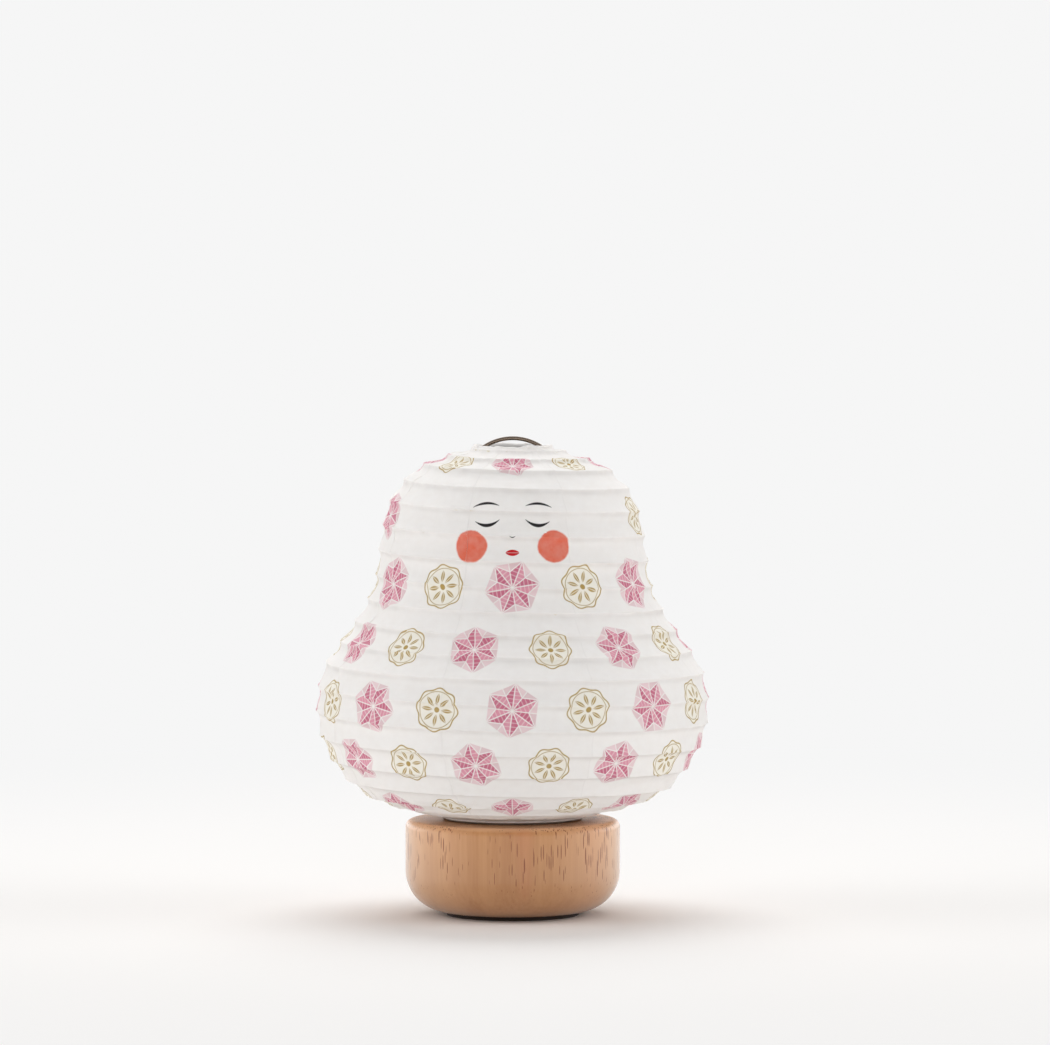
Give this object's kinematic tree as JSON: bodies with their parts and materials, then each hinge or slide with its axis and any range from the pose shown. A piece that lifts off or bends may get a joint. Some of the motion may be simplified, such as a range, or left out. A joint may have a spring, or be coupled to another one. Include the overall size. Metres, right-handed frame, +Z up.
{
  "type": "table lamp",
  "caption": "Waisted paper lantern shade with a spiral rib on a turned wooden base, lit by a small battery lamp, with a lift-off folding shade.",
  "frame": {"origin": "centre of the felt ring on the surface that the lamp stands on", "axes": "+Z up along the lamp axis, -Y towards the side with the face, +X to the right seen from the front"},
  "size_m": [0.1997, 0.1997, 0.2451],
  "materials": {
    "wood": "clear satin lacquer over pale brown turned wood",
    "felt": "dark felt",
    "case_plastic": "fine moulded texture",
    "screw_steel": "zinc plated",
    "cell_steel": "plain printed sleeve, satin",
    "contact_metal": "nickel plated",
    "knob_plastic": "moulded",
    "white_plastic": "moulded",
    "board_white": "white solder mask",
    "led_lens": "phosphor lens",
    "frosted_plastic": "frosted, lets light through",
    "bow_wire": "bright drawn nickel-plated wire",
    "lead_red": "insulation",
    "lead_black": "insulation",
    "ring_wire": "galvanised wire",
    "rib_wire": "paper-wrapped white wire",
    "washi_paper": "thin long-fibre paper, printed"
  },
  "bodies": {
    "base": {"wooden_base": "wood", "felt_ring": "felt", "battery_case": "case_plastic", "battery_case_screws": "screw_steel", "battery_cell_1": "cell_steel", "battery_cell_2": "cell_steel", "battery_cell_3": "cell_steel", "contact_springs": "contact_metal", "contact_plates": "contact_metal", "switch_body": "contact_metal", "lamp_holder": "white_plastic", "holder_screws": "screw_steel", "led_board": "board_white", "board_screws": "screw_steel", "leds": "led_lens", "frosted_dome": "frosted_plastic", "wire_bow": "bow_wire", "lead_positive": "lead_red", "lead_negative": "lead_black", "switch_lead": "lead_red"},
    "shade": {"top_ring": "ring_wire", "spiral_rib": "rib_wire", "paper_panel_1": "washi_paper", "paper_panel_2": "washi_paper", "paper_panel_3": "washi_paper", "paper_panel_4": "washi_paper", "paper_panel_5": "washi_paper", "paper_panel_6": "washi_paper", "paper_panel_7": "washi_paper", "paper_panel_8": "washi_paper"},
    "hem": {"bottom_ring": "ring_wire"},
    "door": {"battery_door": "case_plastic"},
    "knob": {"switch_knob": "knob_plastic"}
  },
  "joints": [
    {"name": "shade_lift", "type": "slide", "parent": "base", "child": "shade", "axis": [0, 0, 1], "range_m": [0, 0.2]},
    {"name": "shade_fold", "type": "slide", "parent": "shade", "child": "hem", "axis": [0, 0, 1], "range_m": [0, 0.155], "deforming": ["paper_panel_1", "paper_panel_2", "paper_panel_3", "paper_panel_4", "paper_panel_5", "paper_panel_6", "paper_panel_7", "paper_panel_8", "spiral_rib"]},
    {"name": "door_hinge", "type": "hinge", "parent": "base", "child": "door", "pos_m": [0, 0.01905, 0.0039], "axis": [1, 0, 0], "range_deg": [0, 90]},
    {"name": "switch_slide", "type": "slide", "parent": "base", "child": "knob", "axis": [1, 0, 0], "range_m": [0, 0.004]}
  ]
}
